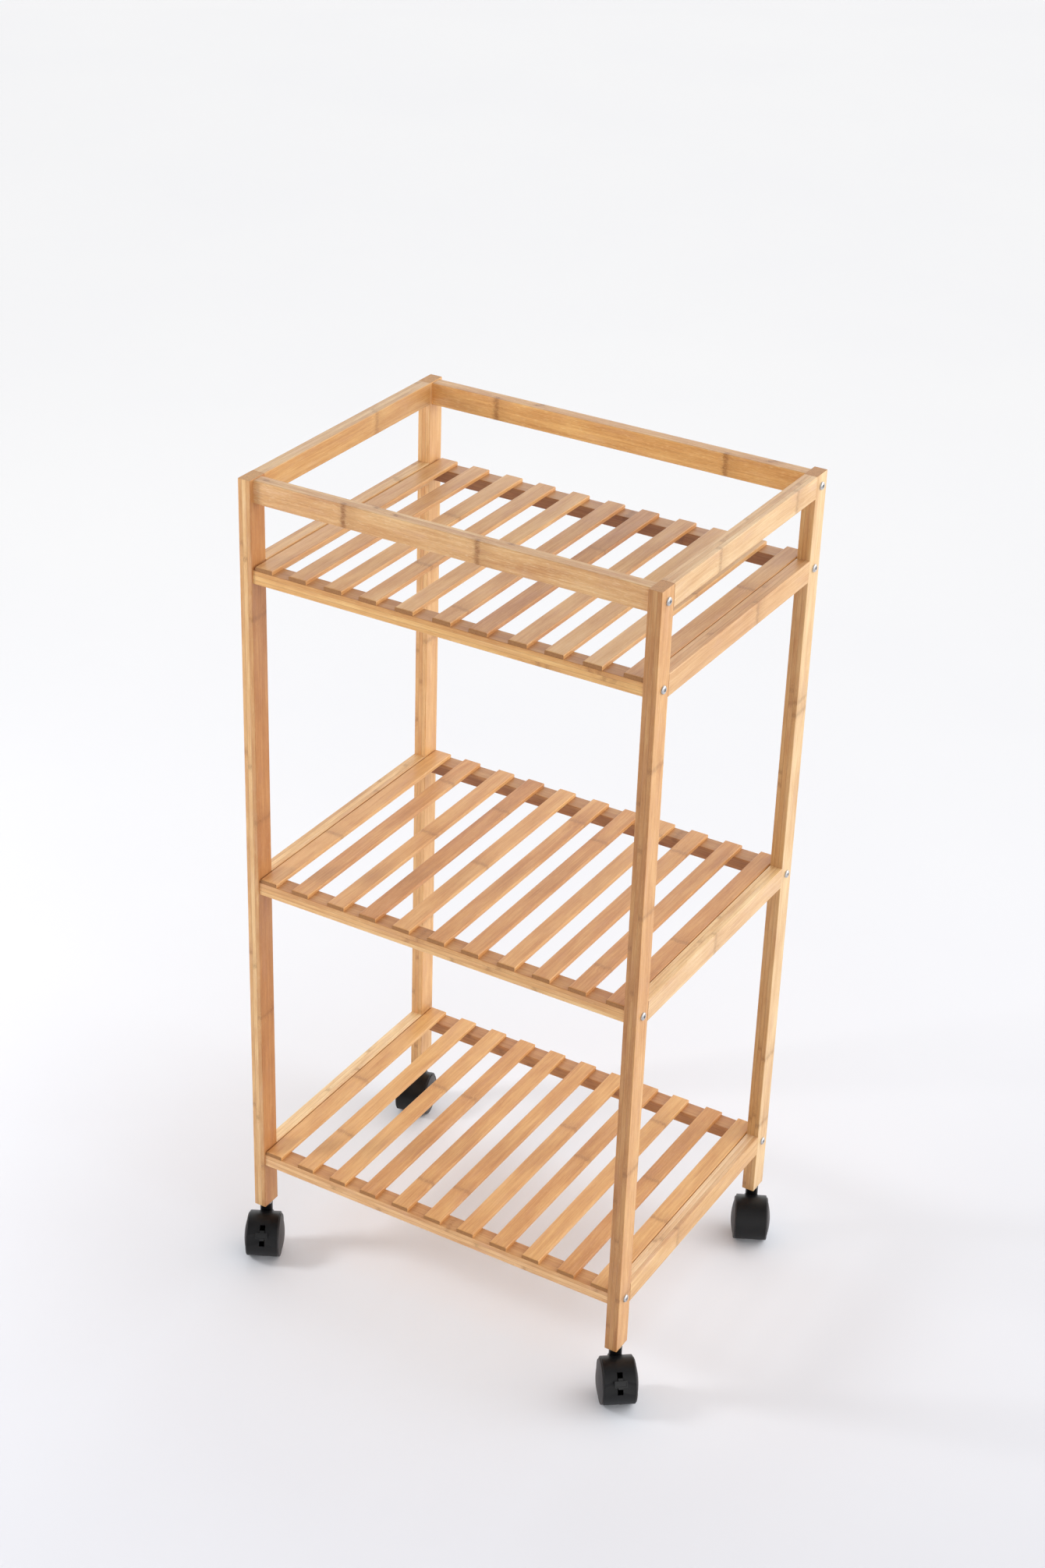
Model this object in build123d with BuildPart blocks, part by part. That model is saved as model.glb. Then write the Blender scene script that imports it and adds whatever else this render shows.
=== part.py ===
from build123d import *
import os
from math import cos, degrees, radians, sin

# Three-tier slatted bamboo trolley on four hooded twin-wheel casters, in millimetres.
# +Z is up and the floor is z = 0. The long side faces -Y, and the origin is on the floor at the
# middle of the footprint, casters included. The casters trail towards -Y, so the bamboo frame
# itself is centred a little behind and to the left of the origin.

os.makedirs("parts", exist_ok=True)

# ---- bamboo frame ------------------------------------------------------------------------
FRAME_X, FRAME_Y = -10.5, 18.0          # middle of the bamboo frame
WIDTH, DEPTH = 480.0, 360.0             # over the posts
POST_FOOT, POST_TOP = 60.0, 967.0       # heights of the posts' two ends
POST_X, POST_Y = 15.0, 25.0             # post section
RAIL_HEIGHT = 25.0                      # upright rails, long and short
RAIL_THICK = 15.0
RAIL_LINE = 13.0                        # long members' centre line, in from the post's outer face
TOP_DROP = 1.0                          # long top rails lie this far below the post tops
BATTEN_HEIGHT, BATTEN_DEPTH = 15.0, 22.0
SHELF_HEIGHTS = {"low": 134.0, "mid": 499.0, "top": 869.0}   # undersides of the slats
ARRIS = 1.0                             # rounding of the members' long edges
END_ARRIS = 0.6                         # rounding of the cut ends

# ---- slats -------------------------------------------------------------------------------
SLAT_WIDTH, SLAT_THICK = 21.0, 4.5
SLAT_SETBACK = 2.5                      # slat end, in from the post's outer face
SLAT_ROUND = 1.4
SLAT_GAP = 1.0                          # between an end slat and the side rail
SLAT_COUNT = 11
# The slats were nailed by eye: each shelf's slats stray this far along X from even spacing.
SLAT_DRIFT = {
    "low": (0.0, 1.0, 2.0, 0.5, 0.5, 0.5, 0.5, 0.5, -1.0, 0.5, 0.0),
    "mid": (0.0, -2.0, 1.5, -1.0, -1.5, -0.5, -1.5, -0.5, -1.5, -1.5, 0.0),
    "top": (1.5, 0.0, 0.0, -1.0, -1.0, 0.0, -1.0, 1.0, -1.0, -1.5, 0.0),
}

# ---- screws ------------------------------------------------------------------------------
SCREW_R, SCREW_LENGTH = 2.0, 45.0
SCREW_HEAD_R, SCREW_HEAD_HEIGHT, SCREW_DOME = 4.5, 2.4, 1.8
SOCKET_R, SOCKET_DEPTH = 1.7, 1.5       # hexagonal drive
SCREW_HOLE_R = 2.03

# ---- casters -----------------------------------------------------------------------------
WHEEL_R = 25.0
TRAIL = 20.0                            # axle ahead of the swivel axis, towards the hood's front
WHEEL_INNER, TREAD_OUTER, WHEEL_OUTER = 4.7, 18.8, 23.0   # along the axle from its middle
DOME_R = 23.6                           # rim of the domed outer face
AXLE_R, AXLE_BORE_R = 3.0, 3.05
AXLE_HALF, WHEEL_BORE_END = 17.0, 17.5
WEB_HALF = 4.2                          # central web between the two wheels
HUB_R = 8.5
HOOD_R, HOOD_INNER_R, HOOD_HALF = 27.4, 25.7, 17.6
HOOD_BACK, HOOD_FRONT = 25.0, 207.0     # hood's span in degrees, from straight back over the top
HOOD_ARRIS = 0.5
NECK_R, NECK_TOP, NECK_ROOT = 7.25, 56.8, 36.0
BOSS_R, BOSS_TOP, BOSS_ROOT = 8.5, 42.0, 36.0
STEM_R, STEM_BORE_R = 4.0, 4.05
STEM_LOW, STEM_HIGH, STEM_BORE_LOW = 43.5, 100.0, 43.0
FLANGE_R, FLANGE_THICK = 6.8, 3.0

# ---- brake -------------------------------------------------------------------------------
LEVER_ANGLE = 146.0                     # lever at rest, in the hood's degrees
SLOT_LOW, SLOT_HIGH, SLOT_HALF = 173.5, 120.0, 3.1
LEVER_HALF = 2.6
LEVER_RING_R, LEVER_CAVITY_R = 6.6, 7.2
CAVITY_LOW, CAVITY_HIGH = 199.0, 99.0   # inside the hood the arm has more room than at the slot
LEVER_ARM = 4.4                         # arm's thickness round the hood
TAB_INNER_R, TAB_OUTER_R, TAB_SPAN, TAB_HALF = 31.2, 33.8, 12.5, 7.0
TAB_BORDER, TAB_POCKET = 1.1, 0.8       # raised border round the tab's face
FOOT_INNER_R, FOOT_OUTER_R, FOOT_SPAN = 28.0, 29.6, 23.5   # cover over the slot under the tab
# Toe hollow beside the tab: a shallow groove, widening from the slot to the hood's edge. Radius
# and angle of the cut's upper edge, valley, lower edge and a corner clear of the hood, first at
# the slot, then at the hood's edge.
GROOVE_AT_SLOT = ((27.7, 138.5), (26.8, 144.0), (27.7, 168.0), (31.0, 153.0))
GROOVE_AT_EDGE = ((27.7, 145.5), (26.4, 155.0), (27.7, 178.0), (31.0, 162.0))

# Each caster: side of the frame along X and Y, the way its hood faces (degrees from -Y towards
# +X), and whether it has a brake.
CASTERS = {
    "front_left": (-1, -1, 28.0, True),
    "front_right": (1, -1, 37.0, True),
    "back_right": (1, 1, 27.0, False),
    "back_left": (-1, 1, 15.0, False),
}

POST_OFFSET_X = (WIDTH - POST_X) / 2
POST_OFFSET_Y = (DEPTH - POST_Y) / 2
LONG_OFFSET = DEPTH / 2 - RAIL_LINE
LONG_LENGTH = WIDTH - 2 * POST_X
SHORT_LENGTH = DEPTH - 2 * POST_Y
TOP_RAIL_CENTRE = POST_TOP - TOP_DROP - RAIL_HEIGHT / 2
SCREW_HEIGHTS = [TOP_RAIL_CENTRE] + [height - BATTEN_HEIGHT / 2 for height in SHELF_HEIGHTS.values()]
SIDES_X = {"left": -1, "right": 1}
SIDES_Y = {"front": -1, "back": 1}


def save(builder, name):
    builder.part.label = name
    export_step(builder.part, f"parts/{name}.step")


# ---- posts, rails and battens ------------------------------------------------------------
def make_post(name, side_x, side_y):
    """Upright with a socket for the caster stem and a hole for each screw."""
    x = FRAME_X + side_x * POST_OFFSET_X
    y = FRAME_Y + side_y * POST_OFFSET_Y
    screw_y = FRAME_Y + side_y * LONG_OFFSET
    outer_x = FRAME_X + side_x * WIDTH / 2
    with BuildPart() as post:
        with BuildSketch(Plane.XY.offset(POST_FOOT)):
            with Locations((x, y)):
                RectangleRounded(POST_X, POST_Y, ARRIS)
        extrude(amount=POST_TOP - POST_FOOT)
        fillet(post.faces().sort_by(Axis.Z)[-1].edges(), END_ARRIS)
        with Locations(Plane(origin=(x, y, POST_FOOT), z_dir=(0, 0, -1))):
            Hole(STEM_R, depth=STEM_HIGH - POST_FOOT)
        for height in SCREW_HEIGHTS:
            with Locations(Plane(origin=(outer_x, screw_y, height), z_dir=(side_x, 0, 0))):
                Hole(SCREW_HOLE_R, depth=POST_X)
    save(post, name)


def make_long_member(name, side_y, centre_z, height, thick):
    """Bar along X between two posts, with a pilot hole in each end."""
    y = FRAME_Y + side_y * LONG_OFFSET
    start_x = FRAME_X - LONG_LENGTH / 2
    pilot = SCREW_LENGTH - POST_X
    with BuildPart() as bar:
        with BuildSketch(Plane(origin=(start_x, y, centre_z), x_dir=(0, 1, 0), z_dir=(1, 0, 0))):
            RectangleRounded(thick, height, ARRIS)
        extrude(amount=LONG_LENGTH)
        for end in SIDES_X.values():
            end_x = FRAME_X + end * LONG_LENGTH / 2
            with Locations(Plane(origin=(end_x, y, centre_z), z_dir=(end, 0, 0))):
                Hole(SCREW_HOLE_R, depth=pilot)
    save(bar, name)


def make_short_rail(name, side_x, top_z):
    """Upright rail along Y between two posts, flush with their outer faces."""
    x = FRAME_X + side_x * (WIDTH - RAIL_THICK) / 2
    start_y = FRAME_Y - SHORT_LENGTH / 2
    plane = Plane(origin=(x, start_y, top_z - RAIL_HEIGHT / 2), x_dir=(-1, 0, 0), z_dir=(0, 1, 0))
    with BuildPart() as rail:
        with BuildSketch(plane):
            RectangleRounded(RAIL_THICK, RAIL_HEIGHT, ARRIS)
        extrude(amount=SHORT_LENGTH)
    save(rail, name)


# ---- slats -------------------------------------------------------------------------------
def make_slats(name, underside, drift):
    """Eleven flat slats across one shelf, each a solid of its own with rounded upper edges."""
    first_x = FRAME_X - LONG_LENGTH / 2 + SLAT_GAP + SLAT_WIDTH / 2
    pitch = (LONG_LENGTH - 2 * SLAT_GAP - SLAT_WIDTH) / (SLAT_COUNT - 1)
    start_y = FRAME_Y - DEPTH / 2 + SLAT_SETBACK
    with BuildPart() as slats:
        for index in range(SLAT_COUNT):
            x = first_x + index * pitch + drift[index]
            with BuildSketch(Plane(origin=(x, start_y, underside), x_dir=(-1, 0, 0), z_dir=(0, 1, 0))):
                Rectangle(SLAT_WIDTH, SLAT_THICK, align=(Align.CENTER, Align.MIN))
        extrude(amount=DEPTH - 2 * SLAT_SETBACK)
        fillet(slats.faces().group_by(Axis.Z)[-1].edges(), SLAT_ROUND)
    save(slats, name)


# ---- screws ------------------------------------------------------------------------------
def make_screws(name, side_x, side_y):
    """The four domed socket screws through one post into the ends of its long members."""
    x = FRAME_X + side_x * WIDTH / 2
    y = FRAME_Y + side_y * LONG_OFFSET
    turned = {"x_dir": (0, 1, 0), "z_dir": (side_x, 0, 0)}
    planes = [Plane(origin=(x, y, height), **turned) for height in SCREW_HEIGHTS]
    outward = Axis((0, 0, 0), (side_x, 0, 0))
    with BuildPart() as screws:
        with BuildSketch(*planes):
            Circle(SCREW_HEAD_R)
        extrude(amount=SCREW_HEAD_HEIGHT)
        fillet(screws.faces().group_by(outward)[-1].edges(), SCREW_DOME)
        with BuildSketch(*planes):
            Circle(SCREW_R)
        extrude(amount=-SCREW_LENGTH)
        with BuildSketch(*[plane.offset(SCREW_HEAD_HEIGHT) for plane in planes]):
            RegularPolygon(SOCKET_R, 6)
        extrude(amount=-SOCKET_DEPTH, mode=Mode.SUBTRACT)
    save(screws, name)


# ---- casters -----------------------------------------------------------------------------
def swivel_plane(side_x, side_y, yaw):
    """Floor plane under a post: z is the swivel axis, x the axle, and -y the hood's front."""
    origin = (FRAME_X + side_x * POST_OFFSET_X, FRAME_Y + side_y * POST_OFFSET_Y, 0)
    turn = radians(yaw)
    return Plane(origin=origin, x_dir=(cos(turn), sin(turn), 0), z_dir=(0, 0, 1))


def axle_plane(base):
    """Plane square to the axle at its middle: x straight back, y up, z along the axle."""
    centre = base.from_local_coords((0, -TRAIL, WHEEL_R))
    return Plane(origin=centre, x_dir=base.y_dir, z_dir=base.x_dir)


def lever_plane(base):
    """The axle plane turned so that x points along the brake lever's arm."""
    side = axle_plane(base)
    turn = radians(LEVER_ANGLE)
    along = side.x_dir * cos(turn) + side.y_dir * sin(turn)
    return Plane(origin=side.origin, x_dir=along, z_dir=side.z_dir)


def pie_slice(radius, start, end):
    """Pie slice round the origin, from one angle to a larger one."""
    with BuildSketch() as piece:
        with BuildLine():
            rim = CenterArc((0, 0), radius, start, end - start)
            Line(rim @ 1, (0, 0))
            Line((0, 0), rim @ 0)
        make_face()
    return piece.sketch_local


def ring_piece(inner, outer, span):
    """Piece of a ring round the origin, centred on the x axis."""
    with BuildSketch() as piece:
        with BuildLine():
            outside = CenterArc((0, 0), outer, -span / 2, span)
            inside = CenterArc((0, 0), inner, -span / 2, span)
            Line(outside @ 0, inside @ 0)
            Line(outside @ 1, inside @ 1)
        make_face()
    return piece.sketch_local


def polar_outline(corners):
    """Closed outline through pairs of radius and angle about the origin."""
    points = [(radius * cos(radians(angle)), radius * sin(radians(angle))) for radius, angle in corners]
    with BuildSketch() as piece:
        with BuildLine():
            Polyline(*points, close=True)
        make_face()
    return piece.sketch_local


def make_housing(name, base, braked):
    """Moulded hood, web and neck. The wheels sit in the bays on both sides of the web."""
    side = axle_plane(base)
    bay = HOOD_HALF - WEB_HALF + 1.0
    hood = pie_slice(HOOD_R, HOOD_BACK, HOOD_FRONT)
    slot = pie_slice(HOOD_R + 1.0, SLOT_HIGH, SLOT_LOW)
    cavity = pie_slice(HOOD_INNER_R, CAVITY_HIGH, CAVITY_LOW)
    with BuildPart() as housing:
        with BuildSketch(side):
            add(hood)
        extrude(amount=HOOD_HALF, both=True)
        rims = housing.edges().filter_by(GeomType.CIRCLE)
        fillet(rims, HOOD_ARRIS)
        with BuildSketch(side):
            Circle(HUB_R)
        extrude(amount=WEB_HALF, both=True)
        with BuildSketch(base.offset(NECK_ROOT)):
            Circle(NECK_R)
        extrude(amount=NECK_TOP - NECK_ROOT)
        with BuildSketch(base.offset(BOSS_ROOT)):
            Circle(BOSS_R)
        extrude(amount=BOSS_TOP - BOSS_ROOT)
        for way in (1, -1):
            with BuildSketch(side.offset(way * WEB_HALF)):
                Circle(HOOD_INNER_R)
            extrude(amount=way * bay, mode=Mode.SUBTRACT)
        with BuildSketch(base.offset(NECK_TOP)):
            Circle(STEM_BORE_R)
        extrude(amount=STEM_BORE_LOW - NECK_TOP, mode=Mode.SUBTRACT)
        with BuildSketch(side):
            Circle(AXLE_R)
        extrude(amount=WEB_HALF, both=True, mode=Mode.SUBTRACT)
        if braked:
            with BuildSketch(side):
                add(slot)
                add(cavity)
                Circle(LEVER_CAVITY_R)
            extrude(amount=SLOT_HALF, both=True, mode=Mode.SUBTRACT)
            for way in (1, -1):
                with BuildSketch(side.offset(way * SLOT_HALF)):
                    add(polar_outline(GROOVE_AT_SLOT))
                with BuildSketch(side.offset(way * (HOOD_HALF + 1.0))):
                    add(polar_outline(GROOVE_AT_EDGE))
                loft(mode=Mode.SUBTRACT)
    save(housing, name)


def make_stem(name, base):
    """Steel pin between post and caster, with a flange against the post's end."""
    with BuildPart() as stem:
        with BuildSketch(base.offset(STEM_LOW)):
            Circle(STEM_R)
        extrude(amount=STEM_HIGH - STEM_LOW)
        with BuildSketch(base.offset(POST_FOOT)):
            Circle(FLANGE_R)
        extrude(amount=-FLANGE_THICK)
    save(stem, name)


def make_axle(name, base):
    with BuildPart() as axle:
        with BuildSketch(axle_plane(base)):
            Circle(AXLE_R)
        extrude(amount=AXLE_HALF, both=True)
        chamfer(axle.edges().filter_by(GeomType.CIRCLE), 0.4)
    save(axle, name)


def make_wheel(name, base, way):
    """One wheel with a domed outer face. way is 1 on the axle's positive end, -1 on the other."""
    side = axle_plane(base)
    rim = 0.6
    profile = Plane(origin=side.origin, x_dir=way * side.z_dir, z_dir=-way * base.y_dir)
    with BuildPart() as wheel:
        with BuildSketch(profile):
            with BuildLine():
                Polyline(
                    (WHEEL_BORE_END, 0),
                    (WHEEL_BORE_END, AXLE_BORE_R),
                    (WHEEL_INNER, AXLE_BORE_R),
                    (WHEEL_INNER, WHEEL_R - 2 * rim),
                    (WHEEL_INNER + 2 * rim, WHEEL_R),
                    (TREAD_OUTER, WHEEL_R),
                    (TREAD_OUTER + rim, WHEEL_R - rim),
                    (TREAD_OUTER + rim, DOME_R + rim / 2),
                    (TREAD_OUTER, DOME_R),
                )
                TangentArc((WHEEL_OUTER, 0), (TREAD_OUTER, DOME_R), tangent=(0, 1), tangent_from_first=True)
                Line((WHEEL_OUTER, 0), (WHEEL_BORE_END, 0))
            make_face()
        revolve(axis=Axis(side.origin, side.z_dir))
    save(wheel, name)


def make_lever(name, base):
    """Brake lever: a ring on the axle, an arm out through the hood's slot and a T-shaped tab."""
    side = lever_plane(base)
    border = 2 * degrees(TAB_BORDER / TAB_OUTER_R)
    tab = ring_piece(TAB_INNER_R, TAB_OUTER_R, TAB_SPAN)
    foot = ring_piece(FOOT_INNER_R, FOOT_OUTER_R, FOOT_SPAN)
    pocket = ring_piece(TAB_OUTER_R - TAB_POCKET, TAB_OUTER_R + 1.0, TAB_SPAN - border)
    with BuildPart() as lever:
        with BuildSketch(side):
            Circle(LEVER_RING_R)
            with Locations(((TAB_INNER_R + AXLE_R) / 2 + 0.5, 0)):
                Rectangle(TAB_INNER_R - AXLE_R, LEVER_ARM)
            Circle(AXLE_BORE_R, mode=Mode.SUBTRACT)
        extrude(amount=LEVER_HALF, both=True)
        with BuildSketch(side):
            add(tab)
        extrude(amount=TAB_HALF, both=True)
        with BuildSketch(side):
            add(foot)
        extrude(amount=LEVER_HALF, both=True)
        with BuildSketch(side):
            add(pocket)
        extrude(amount=TAB_HALF - TAB_BORDER, both=True, mode=Mode.SUBTRACT)
    save(lever, name)


# ---- the whole trolley -------------------------------------------------------------------
for way_y, side_y in SIDES_Y.items():
    for way_x, side_x in SIDES_X.items():
        make_post(f"post_{way_y}_{way_x}", side_x, side_y)
        make_screws(f"screws_{way_y}_{way_x}", side_x, side_y)
    make_long_member(f"top_rail_{way_y}", side_y, TOP_RAIL_CENTRE, RAIL_HEIGHT, RAIL_THICK)

for way_x, side_x in SIDES_X.items():
    make_short_rail(f"top_rail_{way_x}", side_x, POST_TOP)

for shelf, underside in SHELF_HEIGHTS.items():
    make_slats(f"shelf_{shelf}_slats", underside, SLAT_DRIFT[shelf])
    for way_y, side_y in SIDES_Y.items():
        centre_z = underside - BATTEN_HEIGHT / 2
        make_long_member(f"shelf_{shelf}_batten_{way_y}", side_y, centre_z, BATTEN_HEIGHT, BATTEN_DEPTH)
    for way_x, side_x in SIDES_X.items():
        make_short_rail(f"shelf_{shelf}_rail_{way_x}", side_x, underside + SLAT_THICK)

for place, (side_x, side_y, yaw, braked) in CASTERS.items():
    base = swivel_plane(side_x, side_y, yaw)
    make_stem(f"caster_{place}_stem", base)
    make_housing(f"caster_{place}_housing", base, braked)
    make_axle(f"caster_{place}_axle", base)
    make_wheel(f"caster_{place}_wheel_a", base, 1)
    make_wheel(f"caster_{place}_wheel_b", base, -1)
    if braked:
        make_lever(f"caster_{place}_brake_lever", base)
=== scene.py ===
import math

import bpy
from mathutils import Matrix, Vector


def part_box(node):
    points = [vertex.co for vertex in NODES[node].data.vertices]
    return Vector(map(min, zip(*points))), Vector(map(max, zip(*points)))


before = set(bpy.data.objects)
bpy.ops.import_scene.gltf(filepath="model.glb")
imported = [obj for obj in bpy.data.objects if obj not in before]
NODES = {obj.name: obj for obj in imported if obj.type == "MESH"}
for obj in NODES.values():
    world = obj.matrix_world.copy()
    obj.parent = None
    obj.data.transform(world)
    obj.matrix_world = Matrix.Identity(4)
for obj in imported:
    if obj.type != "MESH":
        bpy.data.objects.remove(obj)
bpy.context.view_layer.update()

# Three-tier bamboo trolley. Every CAD node keeps its shape; this script gives each one its material
# and adds the floor, the lights and the camera. Lengths in the materials are in millimetres.

MM = 1000.0
X, Y, Z = 0, 1, 2


# ---- a small language for node trees -------------------------------------------------------
class Shader:
    """A material with a Principled shader, and short calls that add nodes and give back sockets."""

    def __init__(self, name):
        self.material = bpy.data.materials.new(name)
        self.material.use_nodes = True
        self.tree = self.material.node_tree
        self.tree.nodes.clear()
        self.output = self.tree.nodes.new("ShaderNodeOutputMaterial")
        self.surface = self.tree.nodes.new("ShaderNodeBsdfPrincipled")
        self.tree.links.new(self.surface.outputs["BSDF"], self.output.inputs["Surface"])

    def put(self, socket, value):
        """Links a socket, or sets a constant."""
        if isinstance(value, bpy.types.NodeSocket):
            self.tree.links.new(value, socket)
        elif value is not None:
            socket.default_value = value

    def math(self, operation, first, second=None, third=None, clamp=False):
        node = self.tree.nodes.new("ShaderNodeMath")
        node.operation = operation
        node.use_clamp = clamp
        for socket, value in zip(node.inputs, (first, second, third)):
            self.put(socket, value)
        return node.outputs[0]

    def span(self, value, low, high, to_low=0.0, to_high=1.0, smooth=False):
        """Maps low..high onto to_low..to_high, clamped."""
        node = self.tree.nodes.new("ShaderNodeMapRange")
        node.interpolation_type = "SMOOTHSTEP" if smooth else "LINEAR"
        for key, item in (("Value", value), ("From Min", low), ("From Max", high),
                          ("To Min", to_low), ("To Max", to_high)):
            self.put(node.inputs[key], item)
        return node.outputs["Result"]

    def vector(self, x, y, z):
        node = self.tree.nodes.new("ShaderNodeCombineXYZ")
        for socket, value in zip(node.inputs, (x, y, z)):
            self.put(socket, value)
        return node.outputs[0]

    def parts(self, socket):
        node = self.tree.nodes.new("ShaderNodeSeparateXYZ")
        self.put(node.inputs[0], socket)
        return node.outputs

    def place(self):
        """The point on the object, in metres in the part's own frame."""
        return self.tree.nodes.new("ShaderNodeTexCoord").outputs["Object"]

    def normal(self):
        return self.tree.nodes.new("ShaderNodeTexCoord").outputs["Normal"]

    def noise(self, vector, scale=1.0, detail=2.0, roughness=0.5, distortion=0.0):
        node = self.tree.nodes.new("ShaderNodeTexNoise")
        for key, item in (("Vector", vector), ("Scale", scale), ("Detail", detail),
                          ("Roughness", roughness), ("Distortion", distortion)):
            self.put(node.inputs[key], item)
        return node.outputs["Fac"]

    def cells(self, vector, scale=1.0):
        node = self.tree.nodes.new("ShaderNodeTexVoronoi")
        self.put(node.inputs["Vector"], vector)
        self.put(node.inputs["Scale"], scale)
        return node.outputs["Distance"]

    def random(self, number):
        """Three random numbers for a whole number."""
        node = self.tree.nodes.new("ShaderNodeTexWhiteNoise")
        node.noise_dimensions = "1D"
        self.put(node.inputs["W"], number)
        return self.parts(node.outputs["Color"])

    def mix(self, factor, first, second, blend="MIX"):
        node = self.tree.nodes.new("ShaderNodeMix")
        node.data_type = "RGBA"
        node.blend_type = blend
        self.put(node.inputs["Factor"], factor)
        self.put(node.inputs[6], colour(first))
        self.put(node.inputs[7], colour(second))
        return node.outputs[2]

    def ramp(self, value, stops):
        """Colour ramp through (position, colour) stops."""
        node = self.tree.nodes.new("ShaderNodeValToRGB")
        band = node.color_ramp
        while len(band.elements) < len(stops):
            band.elements.new(0.5)
        for element, (position, shade) in zip(band.elements, stops):
            element.position = position
            element.color = colour(shade)
        self.put(node.inputs["Fac"], value)
        return node.outputs["Color"]

    def steps(self, value, levels):
        """A level from the list for each equal step of 0..1."""
        node = self.tree.nodes.new("ShaderNodeValToRGB")
        band = node.color_ramp
        band.interpolation = "CONSTANT"
        while len(band.elements) < len(levels):
            band.elements.new(1.0)
        for index, level in enumerate(levels):
            band.elements[index].position = index / len(levels)
            band.elements[index].color = (level, level, level, 1.0)
        self.put(node.inputs["Fac"], value)
        return node.outputs["Color"]

    def bump(self, height, distance, strength=1.0):
        """Bump from a height of 0..1 that stands for that distance in metres."""
        node = self.tree.nodes.new("ShaderNodeBump")
        self.put(node.inputs["Height"], height)
        node.inputs["Distance"].default_value = distance
        node.inputs["Strength"].default_value = strength
        self.put(self.surface.inputs["Normal"], node.outputs["Normal"])

    def finish(self, **sockets):
        """Sets or links the Principled shader's own sockets. Underscores stand for spaces."""
        for key, value in sockets.items():
            self.put(self.surface.inputs[key.replace("_", " ")], value)
        return self.material


def colour(value):
    """An sRGB hex string as a linear colour, or anything else unchanged."""
    if not isinstance(value, str):
        return value
    channels = [int(value[i:i + 2], 16) / 255 for i in (0, 2, 4)]
    return (*[c / 12.92 if c <= 0.04045 else ((c + 0.055) / 1.055) ** 2.4 for c in channels], 1.0)


# ---- bamboo --------------------------------------------------------------------------------
BAMBOO = {
    "deep": "B4723B",
    "brown": "CC8D51",
    "honey": "DDA466",
    "pale": "F0C184",
    "fleck": "96602F",
    "glint": "F6D6A2",
    "rose": "CE9470",
    "stain": "AE7640",
    "knot": "8E5220",
}
SLAT_COUNT = 11
LAYER = 5.0                    # thickness of one bamboo strip in a glued bar
SEAM_CORE, SEAM_EDGE = 0.08, 0.30      # the glue line between two strips
STRIP_CONTRAST = 0.34          # how much the tones of a bar's strips differ
BAND_WANDER = 110.0            # how far the knots of hidden strips lie from those of the seen one
SLAT_WANDER = 150.0            # how far a slat's knot lies from the middle of the slat
SEED_STEP = 17.3               # keeps the random numbers of two pieces apart
KEY_STEP, KEY_SCALE = 3.7, 7.7     # set the grain of one strip far from that of the next

# A knot: its ring, the stain on one side of it, and the fibres that bend round it.
RING_CORE, RING_EDGE = 0.8, 4.2
RING_WOBBLE, RING_FRAY = 7.0, 8.0
STAIN_CORE, STAIN_EDGE, STAIN_BACK = 2.0, 24.0, -9.0
SWIRL_CORE, SWIRL_EDGE = 2.0, 22.0
FIBRE_DRIFT, FIBRE_SWIRL = 7.0, 9.0

# How strongly a mark shows: on any piece, and how much more on a boldly marked one.
GLINTS = (0.15, 0.17)
STAINS = (0.24, 0.12)
TICKS = (0.42, 0.40)
PORES = (0.22, 0.16)
ROSY, SEAMS, END_STREAKS = 0.30, 0.50, 0.4

# A face counts as facing an axis when the normal's part along it goes from the first to the second.
FACING = (0.55, 0.85)
BAMBOO_RELIEF = 0.00012        # depth of fibres and pores, in metres


def bamboo_coordinates(shader, node, along, through):
    """Millimetres along the piece from its middle, across it, and through its strips."""
    low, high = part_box(node)
    across = ({X, Y, Z} - {along, through}).pop()
    place = shader.parts(shader.place())
    middle = (low[along] + high[along]) / 2
    u = shader.math("MULTIPLY", shader.math("SUBTRACT", place[along], middle), MM)
    v = shader.math("MULTIPLY", shader.math("SUBTRACT", place[across], low[across]), MM)
    w = shader.math("MULTIPLY", shader.math("SUBTRACT", place[through], low[through]), MM)
    return u, v, w


def knots(shader, u, v, w, bands, shift):
    """Masks for the rings that cross bamboo: the ring itself, the stain on one side of it, and how
    much the fibres near it swirl."""
    wobble = shader.noise(shader.vector(shader.math("DIVIDE", v, 6.0), shader.math("DIVIDE", w, 6.0),
                                        shift), detail=3.0, roughness=0.6)
    wobble = shader.math("MULTIPLY", shader.math("SUBTRACT", wobble, 0.5), RING_WOBBLE)
    frayed = shader.noise(shader.vector(shader.math("DIVIDE", u, 5.0), shader.math("DIVIDE", v, 0.6),
                                        shader.math("DIVIDE", w, 0.6)), detail=2.0)
    frayed = shader.math("MULTIPLY", shader.math("SUBTRACT", frayed, 0.5), RING_FRAY)
    moved = shader.math("ADD", shader.math("SUBTRACT", u, shift), shader.math("ADD", wobble, frayed))
    ring = stain = swirl = None
    for band in bands:
        offset = shader.math("SUBTRACT", moved, band)
        distance = shader.math("ABSOLUTE", offset)
        one = shader.span(distance, RING_EDGE, RING_CORE, smooth=True)
        halo = shader.math("MULTIPLY", shader.span(offset, STAIN_EDGE, STAIN_CORE, smooth=True),
                           shader.span(offset, STAIN_BACK, 0.0, smooth=True))
        near = shader.span(distance, SWIRL_EDGE, SWIRL_CORE, smooth=True)
        ring = one if ring is None else shader.math("MAXIMUM", ring, one)
        stain = halo if stain is None else shader.math("MAXIMUM", stain, halo)
        swirl = near if swirl is None else shader.math("MAXIMUM", swirl, near)
    return ring, stain, swirl


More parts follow.
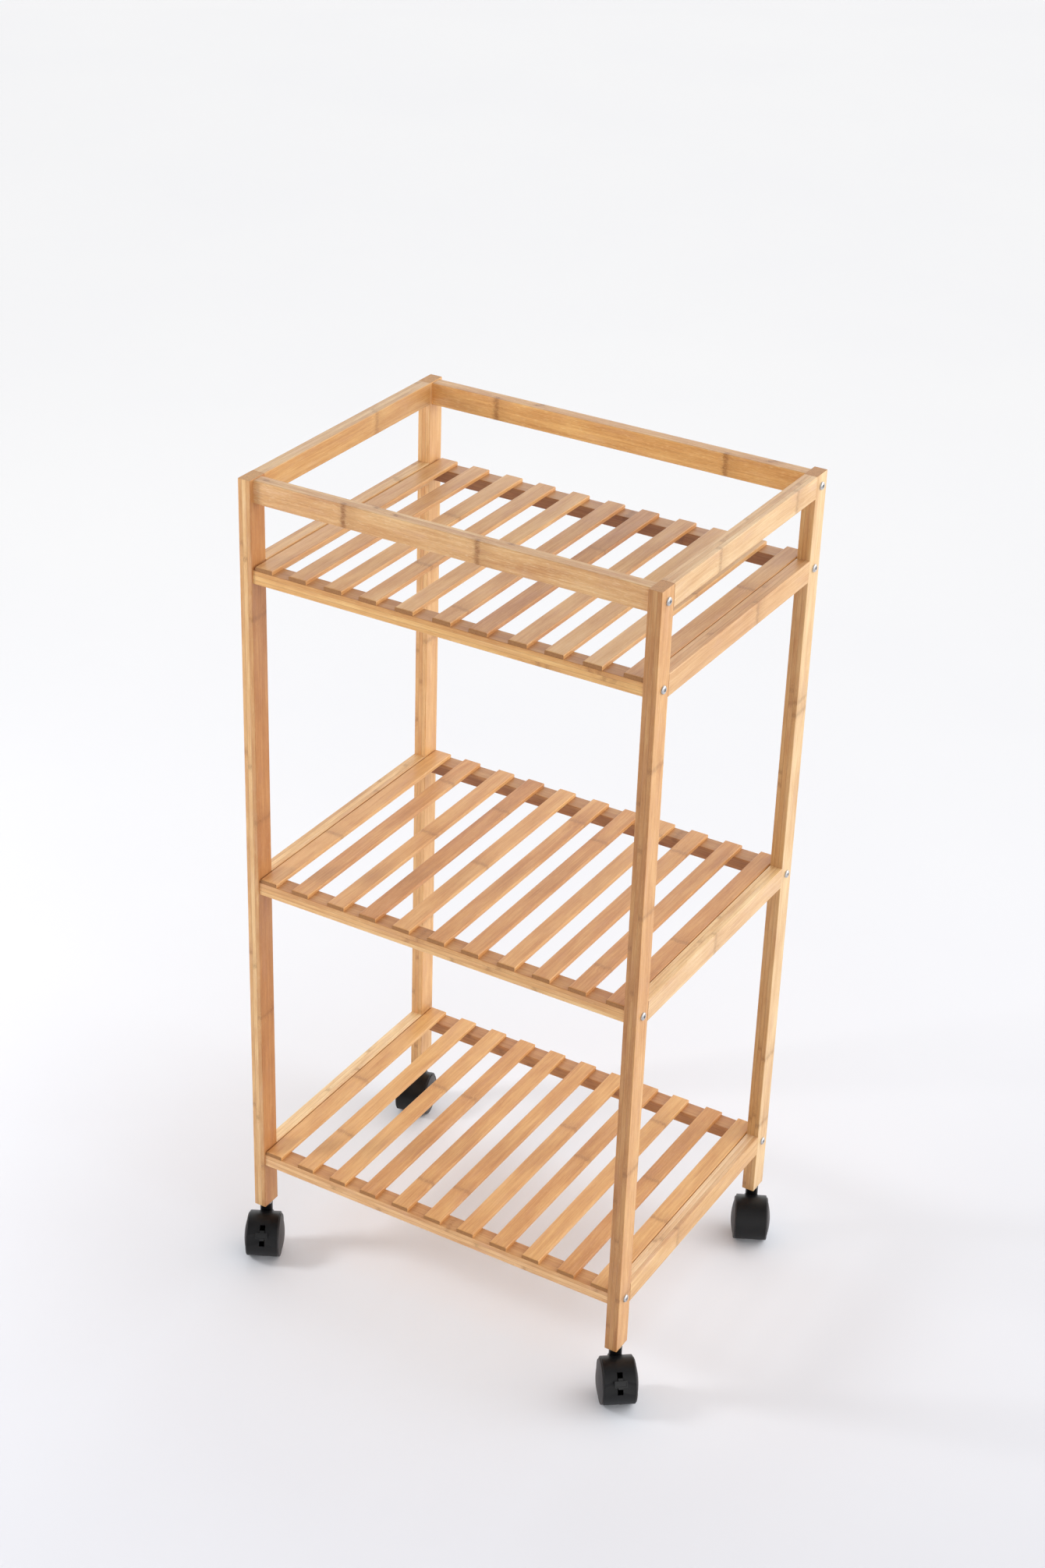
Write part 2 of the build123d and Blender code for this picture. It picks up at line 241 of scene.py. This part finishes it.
def paint_face_light(shader, shade_of, painted_tints):
    """Painted light and shade: multiplies the colour by the tint of the face, facing X, facing Y, facing
    up or down. Where there is a fourth tint, it is for the face at the back, and the second is for the
    front alone."""
    normal = shader.parts(shader.normal())
    facing = [shader.math("ABSOLUTE", part) for part in normal]
    if len(painted_tints) > 3:
        facing[Y] = shader.math("MULTIPLY", normal[Y], -1.0)
        facing.append(normal[Y])
    for part, tint in zip(facing, painted_tints):
        mask = shader.span(part, *FACING)
        shade_of = shader.mix(mask, shade_of, shader.mix(1.0, shade_of, (*tint, 1.0), "MULTIPLY"))
    return shade_of


def bamboo(node, along, through, bands, seed, seen=1, slats=None, painted_tints=None, bold=0.0):
    """Varnished bamboo. along and through are axes, seen is the side of the piece whose strip shows
    the given bands, slats holds one tone for each slat of a shelf, the tints one colour of painted
    light, shade and sheen for the faces along each axis, and bold is 1 for a piece with strongly marked
    pores and knots."""
    shader = Shader(f"bamboo_{node}")
    u, v, w = bamboo_coordinates(shader, node, along, through)
    low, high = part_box(node)
    thickness = (high[through] - low[through]) * MM
    if slats:
        pitch = (high[X] - low[X]) * MM / SLAT_COUNT
        layer = shader.math("FLOOR", shader.math("DIVIDE", v, pitch))
        chance = shader.random(shader.math("ADD", layer, seed * SEED_STEP))
        place = shader.math("DIVIDE", shader.math("ADD", layer, 0.5), SLAT_COUNT)
        tone = shader.math("SUBTRACT", shader.steps(place, slats), 0.5)
        shift = shader.math("MULTIPLY", shader.math("SUBTRACT", chance[1], 0.5), 2 * SLAT_WANDER)
        seam = None
    else:
        count = max(1, round(thickness / LAYER))
        layer = shader.math("FLOOR", shader.math("DIVIDE", w, thickness / count))
        layer = shader.math("MINIMUM", shader.math("MAXIMUM", layer, 0.0), count - 1.0)
        chance = shader.random(shader.math("ADD", layer, seed * SEED_STEP))
        tone = shader.math("MULTIPLY", shader.math("SUBTRACT", chance[0], 0.5), STRIP_CONTRAST)
        hidden = shader.math("COMPARE", layer, count - 1.0 if seen > 0 else 0.0, 0.5)
        hidden = shader.math("SUBTRACT", 1.0, hidden)
        shift = shader.math("MULTIPLY", shader.math("SUBTRACT", chance[1], 0.5), 2 * BAND_WANDER)
        shift = shader.math("MULTIPLY", shift, hidden)
        seam = None
        for index in range(1, count):
            gap = shader.math("ABSOLUTE", shader.math("SUBTRACT", w, index * thickness / count))
            one = shader.span(gap, SEAM_EDGE, SEAM_CORE)
            seam = one if seam is None else shader.math("MAXIMUM", seam, one)

    ring, stain, swirl = knots(shader, u, v, w, bands, shift)
    key = shader.math("MULTIPLY", shader.math("ADD", layer, seed * KEY_STEP), KEY_SCALE)
    # Fibres run true along the piece, drift a little, and bend round the knots.
    drift = shader.noise(shader.vector(shader.math("DIVIDE", u, 110.0), shader.math("DIVIDE", v, 30.0),
                                       key), detail=2.0)
    curl = shader.noise(shader.vector(shader.math("DIVIDE", u, 9.0), shader.math("DIVIDE", v, 6.0),
                                      key), detail=2.0)
    bend = shader.math("MULTIPLY", shader.math("SUBTRACT", drift, 0.5), FIBRE_DRIFT)
    bend = shader.math("ADD", bend, shader.math("MULTIPLY", shader.math("SUBTRACT", curl, 0.5),
                                                shader.math("MULTIPLY", swirl, FIBRE_SWIRL)))
    v_bent = shader.math("ADD", v, bend)

    def grain(length, width, detail, roughness=0.55):
        """Noise drawn out along the fibres: its length and width in millimetres."""
        vector = shader.vector(shader.math("DIVIDE", u, length), shader.math("DIVIDE", v_bent, width),
                               shader.math("ADD", shader.math("DIVIDE", w, width), key))
        return shader.noise(vector, detail=detail, roughness=roughness)

    def strength(mark):
        return mark[0] + mark[1] * bold

    fibres = grain(60.0, 0.65, 2.0, 0.6)
    streaks = grain(190.0, 2.6, 3.0)
    clouds = grain(70.0, 14.0, 3.0)
    pores = shader.span(grain(6.0, 0.35, 1.0), 0.60, 0.74)
    glints = shader.span(grain(7.0, 0.55, 1.0), 0.44, 0.30)

    level = shader.math("ADD", tone, 0.5)
    for field, weight in ((streaks, 0.45 if slats else 0.62), (fibres, 0.62), (clouds, 0.85)):
        level = shader.math("MULTIPLY_ADD", shader.math("SUBTRACT", field, 0.5), weight, level)
    level = shader.span(level, 0.0, 1.0)
    shade_of = shader.ramp(level, [(0.0, BAMBOO["deep"]), (0.34, BAMBOO["brown"]),
                                   (0.60, BAMBOO["honey"]), (1.0, BAMBOO["pale"])])
    shade_of = shader.mix(shader.math("MULTIPLY", pores, strength(PORES)), shade_of, BAMBOO["fleck"])
    shade_of = shader.mix(shader.math("MULTIPLY", glints, strength(GLINTS)), shade_of, BAMBOO["glint"])
    rosy = shader.span(grain(40.0, 9.0, 3.0), 0.52, 0.72)
    shade_of = shader.mix(shader.math("MULTIPLY", rosy, ROSY), shade_of, BAMBOO["rose"])
    shade_of = shader.mix(shader.math("MULTIPLY", stain, strength(STAINS)), shade_of, BAMBOO["stain"])
    ticks = shader.span(grain(5.0, 0.5, 2.0), 0.38, 0.60)
    ticks = shader.math("MULTIPLY", ring, shader.math("MULTIPLY_ADD", ticks, 0.75, 0.25))
    shade_of = shader.mix(shader.math("MULTIPLY", ticks, strength(TICKS)), shade_of, BAMBOO["knot"])
    if seam is not None:
        shade_of = shader.mix(shader.math("MULTIPLY", seam, SEAMS), shade_of, BAMBOO["fleck"])

    # The cut ends show the strips' dots.
    cut = shader.span(shader.math("ABSOLUTE", shader.parts(shader.normal())[along]), *FACING)
    dots = shader.cells(shader.vector(v, w, 0.0), 1.25)
    dots = shader.span(dots, 0.18, 0.42)
    end = shader.mix(dots, BAMBOO["knot"], BAMBOO["stain"]) if slats else \
        shader.mix(dots, BAMBOO["stain"], BAMBOO["brown"])
    end = shader.mix(shader.math("MULTIPLY", shader.span(streaks, 0.3, 0.7), END_STREAKS), end,
                     BAMBOO["fleck"])
    shade_of = shader.mix(cut, shade_of, end)
    # Painted light, shade and sheen: each face's colour is multiplied by the member's tint for that
    # face.
    if painted_tints:
        shade_of = paint_face_light(shader, shade_of, painted_tints)

    rough = shader.span(fibres, 0.25, 0.75, 0.52, 0.38)
    rough = shader.math("ADD", rough, shader.math("MULTIPLY", cut, 0.25))
    height = shader.math("MULTIPLY_ADD", fibres, 0.5, shader.math("MULTIPLY", ticks, 0.8))
    height = shader.math("SUBTRACT", height, shader.math("MULTIPLY", pores, 0.35))
    if seam is not None:
        height = shader.math("SUBTRACT", height, shader.math("MULTIPLY", seam, 0.5))
    shader.bump(height, BAMBOO_RELIEF)
    return shader.finish(Base_Color=shade_of, Roughness=rough, IOR=1.50,
                         Coat_Weight=0.22, Coat_Roughness=0.28)


# ---- moulded plastic and metal -------------------------------------------------------------
DUST = "4A4A4C"
SPARK_RELIEF = 0.00005         # depth of the plastic's spark texture, in metres
TURNING_RELIEF = 0.00003       # depth of the metal's turning marks


def moulded_plastic(name, shade, worn, roughness, shine):
    """Black injection-moulded plastic: fine spark texture, a satin face and a little dust."""
    shader = Shader(name)
    place = shader.place()
    spark = shader.noise(place, scale=2600.0, detail=2.0, roughness=0.6)
    flow = shader.noise(place, scale=70.0, detail=4.0, roughness=0.6)
    scuff = shader.noise(place, scale=420.0, detail=3.0, roughness=0.7, distortion=0.6)
    scuff = shader.span(scuff, 0.60, 0.78)
    body = shader.mix(shader.span(flow, 0.35, 0.7), shade, worn)
    body = shader.mix(shader.math("MULTIPLY", scuff, 0.10), body, DUST)
    rough = shader.span(flow, 0.3, 0.7, roughness - 0.05, roughness + 0.07)
    rough = shader.math("ADD", rough, shader.math("MULTIPLY", scuff, 0.12))
    shader.bump(shader.math("MULTIPLY_ADD", spark, 0.7, shader.math("MULTIPLY", scuff, 0.3)),
                SPARK_RELIEF)
    return shader.finish(Base_Color=body, Roughness=rough, IOR=1.49, Specular_IOR_Level=shine)


def turned_metal(name, shade, dark, roughness, axis):
    """Plated steel with fine turning marks round an axis and darker stains in them."""
    shader = Shader(name)
    place = shader.parts(shader.place())
    across = [shader.math("MULTIPLY", place[i], MM) for i in (X, Y, Z)]
    across[axis] = shader.math("MULTIPLY", place[axis], 8 * MM)
    marks = shader.noise(shader.vector(*across), scale=1.6, detail=3.0, roughness=0.7)
    stains = shader.noise(shader.vector(*across), scale=0.35, detail=3.0)
    body = shader.mix(shader.span(stains, 0.40, 0.75), shade, dark)
    rough = shader.span(marks, 0.3, 0.7, roughness - 0.08, roughness + 0.12)
    shader.bump(marks, TURNING_RELIEF)
    return shader.finish(Base_Color=body, Roughness=rough, Metallic=1.0)


def dress(node, material):
    """Gives a CAD node its material through its own slots."""
    for slot in NODES[node].material_slots:
        slot.material = material


# Knots of each long piece, in millimetres from its middle along its length.
KNOTS = {
    "top_rail_front": (-117.0, 37.0),
    "top_rail_back": (-143.0, 134.0),
    "top_rail_left": (50.0,),
    "top_rail_right": (-60.0, 110.0),
}
# Tone of each slat from left to right, from 0, dark, to 1, pale.
SLAT_TONES = {
    "low": (0.58, 0.57, 0.52, 0.39, 0.48, 0.44, 0.50, 0.41, 0.57, 0.31, 0.58),
    "mid": (0.61, 0.40, 0.55, 0.23, 0.57, 0.42, 0.41, 0.58, 0.43, 0.40, 0.33),
    "top": (0.52, 0.46, 0.57, 0.46, 0.56, 0.39, 0.17, 0.47, 0.59, 0.67, 0.42),
}

# Painted light, shade and sheen on each member's faces, as a colour against the common bamboo: facing X,
# facing Y, facing up, and for a back batten, whose front face gets painted shade from its slats, the
# face at the back.
PLAIN = (1.0, 1.0, 1.0)
PAINTED_LIGHT_TINTS = {
    "post_front_right": ((1.02, 1.12, 1.22), (0.82, 0.81, 0.78), (0.88, 1.00, 1.28)),
    "post_front_left": ((0.85, 0.84, 0.88), (1.06, 1.20, 1.40), (0.96, 1.17, 1.50)),
    "post_back_right": ((0.97, 1.16, 1.45), (0.84, 0.89, 0.95), (0.88, 1.00, 1.28)),
    "post_back_left": ((0.96, 1.02, 1.08), (1.06, 1.18, 1.32), (0.94, 1.10, 1.35)),
    "top_rail_front": (PLAIN, (1.07, 1.20, 1.42), (0.83, 0.93, 1.10)),
    "top_rail_back": (PLAIN, (1.20, 1.36, 1.33), (0.86, 0.94, 1.06)),
    "top_rail_right": ((0.95, 1.13, 1.45), PLAIN, (0.94, 1.14, 1.50)),
    "top_rail_left": ((0.97, 1.15, 1.26), PLAIN, (0.91, 1.14, 1.50)),
    "shelf_low_rail_right": ((1.04, 1.26, 1.50), PLAIN, (1.00, 1.23, 1.75)),
    "shelf_low_rail_left": ((1.00, 1.15, 1.35), PLAIN, (1.10, 1.42, 1.95)),
    "shelf_low_batten_back": (PLAIN, (0.75, 0.66, 0.58), (0.74, 0.70, 0.66), (1.10, 1.24, 1.50)),
    "shelf_low_batten": (PLAIN, (1.19, 1.36, 1.70), (0.85, 0.86, 0.86)),
    "shelf_low_slats": ((1.00, 1.05, 1.05), (0.95, 1.00, 1.00), (0.95, 0.97, 0.92)),
    "shelf_mid_rail_right": ((1.00, 1.22, 1.65), PLAIN, (1.05, 1.32, 1.70)),
    "shelf_mid_rail_left": ((1.00, 1.15, 1.35), PLAIN, (1.08, 1.36, 1.75)),
    "shelf_mid_batten_back": (PLAIN, (0.60, 0.51, 0.44), (0.68, 0.65, 0.63), (1.08, 1.20, 1.40)),
    "shelf_mid_batten": (PLAIN, (1.14, 1.28, 1.45), (0.80, 0.80, 0.80)),
    "shelf_mid_slats": ((1.00, 1.05, 1.05), (0.93, 0.97, 1.00), (0.91, 0.91, 0.91)),
    "shelf_top_rail_right": ((0.90, 0.98, 1.13), PLAIN, (0.79, 0.82, 0.94)),
    "shelf_top_rail_left": ((0.96, 1.08, 1.18), PLAIN, (0.88, 1.01, 1.20)),
    "shelf_top_batten_back": (PLAIN, (0.48, 0.38, 0.31), (0.66, 0.63, 0.62), (1.05, 1.14, 1.14)),
    "shelf_top_batten": (PLAIN, (1.11, 1.20, 1.16), (0.72, 0.72, 0.74)),
    "shelf_top_slats": ((0.98, 1.04, 1.06), (0.90, 0.95, 1.00), (0.85, 0.92, 1.02)),
}


def face_light_of(name):
    """The painted light and shade tints of the first row whose name the member's name starts with."""
    for key, painted_tints in PAINTED_LIGHT_TINTS.items():
        if name.startswith(key):
            return painted_tints
    return (PLAIN, PLAIN, PLAIN)


def dress_frame():
    corners = ("front_left", "front_right", "back_left", "back_right")
    for seed, corner in enumerate(corners):
        name = f"post_{corner}"
        bands = (300.0 - 35 * seed, 60.0 + 40 * seed, -190.0 - 25 * seed, -395.0 + 12 * seed)
        dress(name, bamboo(name, Z, X, bands, seed + 1, painted_tints=face_light_of(name)))
    for seed, side in enumerate(("front", "back")):
        name = f"top_rail_{side}"
        dress(name, bamboo(name, X, Y, KNOTS[name], seed + 11, seen=-1, painted_tints=face_light_of(name),
                           bold=1.0))
    for seed, side in enumerate(("left", "right")):
        name = f"top_rail_{side}"
        dress(name, bamboo(name, Y, X, KNOTS[name], seed + 14, painted_tints=face_light_of(name)))
    for number, shelf in enumerate(("low", "mid", "top")):
        for seed, side in enumerate(("front", "back")):
            name = f"shelf_{shelf}_batten_{side}"
            bands = (-70.0 + 90 * number, 120.0 - 30 * seed)
            dress(name, bamboo(name, X, Z, bands, 20 + 2 * number + seed, seen=-1,
                               painted_tints=face_light_of(name)))
        for seed, side in enumerate(("left", "right")):
            name = f"shelf_{shelf}_rail_{side}"
            bands = (15.0 + 40 * number - 60 * seed,)
            dress(name, bamboo(name, Y, X, bands, 30 + 2 * number + seed, painted_tints=face_light_of(name)))
        name = f"shelf_{shelf}_slats"
        dress(name, bamboo(name, Y, Z, (0.0,), 40 + number, slats=SLAT_TONES[shelf],
                           painted_tints=face_light_of(name)))


def dress_hardware():
    hood = moulded_plastic("hood_plastic", "0C0C0E", "131315", 0.34, 0.30)
    wheel = moulded_plastic("wheel_plastic", "383536", "423F40", 0.50, 0.42)
    lever = moulded_plastic("lever_plastic", "0B0B0C", "121214", 0.30, 0.45)
    screw = turned_metal("screw_steel_plated", "D8D8DA", "9C9A98", 0.24, X)
    pin = turned_metal("pin_steel_plated", "C8C6C2", "8A8782", 0.34, Z)
    for name in NODES:
        if name.startswith("screws_"):
            dress(name, screw)
        elif name.endswith("_housing"):
            dress(name, hood)
        elif "_wheel_" in name:
            dress(name, wheel)
        elif name.endswith("_brake_lever"):
            dress(name, lever)
        elif name.endswith(("_stem", "_axle")):
            dress(name, pin)


# ---- floor, lights and camera --------------------------------------------------------------
FLOOR_REACH = 30.0             # half the side of the floor, in metres
# Painted shade: the floor's near tone, in front and around the object, is darker than its far tone.
FLOOR_NEAR = ("E1E2E8", "E4E5EB")
FLOOR_FAR = ("FBFBFD", "FDFDFE")
FLOOR_UNDER = ("F1F5FC", "F4F8FE")
MOTTLE = (0.3, 0.7)            # the part of the noise that runs from a pair's first tone to its second
BACKWARD = (-0.5, 0.87)        # the way along which the floor turns from near to far tone
BACKWARD_FADE = (-1.0, 2.6)
OUTWARD_FADE = (2.5, 7.0)      # radii between which it does so in every other direction
UNDER_FADE = (0.48, 0.10)      # radii between which the floor under the object turns cooler, a painted tint against the bamboo's warm bounced light

ROOM_COLOUR = (1.0, 1.0, 1.0, 1.0)
ROOM_GLOW = 0.13
BACKDROP_GLOW = 0.92           # what the camera sees beyond the floor
WALLS = ((X, 1.0, 1.75), (X, -1.0, 0.62), (Y, 1.0, 1.30), (Y, -1.0, 0.07))    # axis, way, glow
LIT_POINT = (0.0, 0.0, 0.5)
SOFT_BOXES = (
    ("left_box", (-1.5, -0.9, 1.2), (0.35, 0.5), 13.0, (1.0, 1.0, 1.0)),
    ("right_box", (1.3, 0.9, 1.2), (0.9, 1.3), 4.6, (1.0, 1.0, 1.0)),
)

CAMERA_TURN = (-29.675, 29.085, 1.951)       # yaw, pitch down and roll, in degrees
CAMERA_PLACE = (1.2224, -2.1522, 1.9965)
CAMERA_LENS, CAMERA_SENSOR, CAMERA_REACH = 61.0, 36.0, 100.0


def make_floor():
    """A plain pale floor with painted shade, a little darker in front, and a painted cool tint where the
    object's colour falls on it, which cancels that bounced light.
    """
    reach = FLOOR_REACH
    mesh = bpy.data.meshes.new("floor")
    corners = [(-reach, -reach, 0.0), (reach, -reach, 0.0), (reach, reach, 0.0), (-reach, reach, 0.0)]
    mesh.from_pydata(corners, [], [(0, 1, 2, 3)])
    floor = bpy.data.objects.new("floor", mesh)
    bpy.context.scene.collection.objects.link(floor)
    shader = Shader("floor_paint")
    mottle = shader.noise(shader.place(), scale=1.3, detail=4.0, roughness=0.55)
    near = shader.mix(shader.span(mottle, *MOTTLE), *FLOOR_NEAR)
    far = shader.mix(shader.span(mottle, *MOTTLE), *FLOOR_FAR)
    place = shader.parts(shader.place())
    back = shader.math("MULTIPLY_ADD", place[X], BACKWARD[X],
                       shader.math("MULTIPLY", place[Y], BACKWARD[Y]))
    radius = shader.math("SQRT", shader.math("ADD", shader.math("MULTIPLY", place[X], place[X]),
                                             shader.math("MULTIPLY", place[Y], place[Y])))
    # Painted shade: near tone in front and close to the object, far tone behind and far out.
    paint = shader.mix(shader.math("MAXIMUM", shader.span(back, *BACKWARD_FADE, smooth=True),
                                   shader.span(radius, *OUTWARD_FADE, smooth=True)), near, far)
    # Painted cool tint under the object, which cancels the warm light the bamboo bounces onto the floor.
    cool = shader.mix(shader.span(mottle, *MOTTLE), *FLOOR_UNDER)
    paint = shader.mix(shader.span(radius, *UNDER_FADE, smooth=True), paint, cool)
    mesh.materials.append(shader.finish(Base_Color=paint, Roughness=0.7, Specular_IOR_Level=0.2))


def area_light(name, place, target, size, power, tint):
    """A rectangular soft box at a place, turned to a point."""
    data = bpy.data.lights.new(name, "AREA")
    data.shape = "RECTANGLE"
    data.size, data.size_y = size
    data.energy = power
    data.color = tint
    light = bpy.data.objects.new(name, data)
    light.location = place
    light.rotation_euler = (Vector(target) - Vector(place)).to_track_quat("-Z", "Y").to_euler()
    bpy.context.scene.collection.objects.link(light)


def make_lights():
    """Soft studio light: a dim room whose four walls glow by different amounts, and two soft boxes.
    Where the camera looks past the floor it sees a plain pale backdrop."""
    world = bpy.data.worlds.new("studio")
    world.use_nodes = True
    tree = world.node_tree
    background = tree.nodes["Background"]
    background.inputs["Color"].default_value = ROOM_COLOUR
    direction = tree.nodes.new("ShaderNodeSeparateXYZ")
    tree.links.new(tree.nodes.new("ShaderNodeTexCoord").outputs["Generated"], direction.inputs[0])
    glow = ROOM_GLOW
    for axis, way, strength in WALLS:
        facing = tree.nodes.new("ShaderNodeMath")
        facing.operation = "MULTIPLY"
        facing.use_clamp = True
        tree.links.new(direction.outputs[axis], facing.inputs[0])
        facing.inputs[1].default_value = way
        wall = tree.nodes.new("ShaderNodeMath")
        wall.operation = "MULTIPLY_ADD"
        tree.links.new(facing.outputs[0], wall.inputs[0])
        wall.inputs[1].default_value = strength
        if isinstance(glow, float):
            wall.inputs[2].default_value = glow
        else:
            tree.links.new(glow, wall.inputs[2])
        glow = wall.outputs[0]
    backdrop = tree.nodes.new("ShaderNodeMix")
    seen = tree.nodes.new("ShaderNodeLightPath").outputs["Is Camera Ray"]
    tree.links.new(seen, backdrop.inputs["Factor"])
    tree.links.new(glow, backdrop.inputs["A"])
    backdrop.inputs["B"].default_value = BACKDROP_GLOW
    tree.links.new(backdrop.outputs["Result"], background.inputs["Strength"])
    bpy.context.scene.world = world
    for name, place, size, power, tint in SOFT_BOXES:
        area_light(name, place, LIT_POINT, size, power, tint)


def make_camera():
    """The photographer's place: in front and to the right, looking down at about 29 degrees."""
    yaw, pitch, roll = (math.radians(angle) for angle in CAMERA_TURN)
    view = Vector((math.sin(yaw) * math.cos(pitch), math.cos(yaw) * math.cos(pitch),
                   -math.sin(pitch)))
    level = Vector((math.cos(yaw), -math.sin(yaw), 0.0))
    up = level.cross(view)
    right = math.cos(roll) * level + math.sin(roll) * up
    above = math.cos(roll) * up - math.sin(roll) * level
    data = bpy.data.cameras.new("camera")
    data.sensor_width = CAMERA_SENSOR
    data.lens = CAMERA_LENS
    data.clip_end = CAMERA_REACH
    camera = bpy.data.objects.new("camera", data)
    turn = Matrix((right, above, -view)).transposed().to_4x4()
    camera.matrix_world = Matrix.Translation(CAMERA_PLACE) @ turn
    bpy.context.scene.collection.objects.link(camera)
    bpy.context.scene.camera = camera


make_camera()
dress_frame()
dress_hardware()
make_floor()
make_lights()
bpy.context.scene.view_settings.view_transform = "Standard"
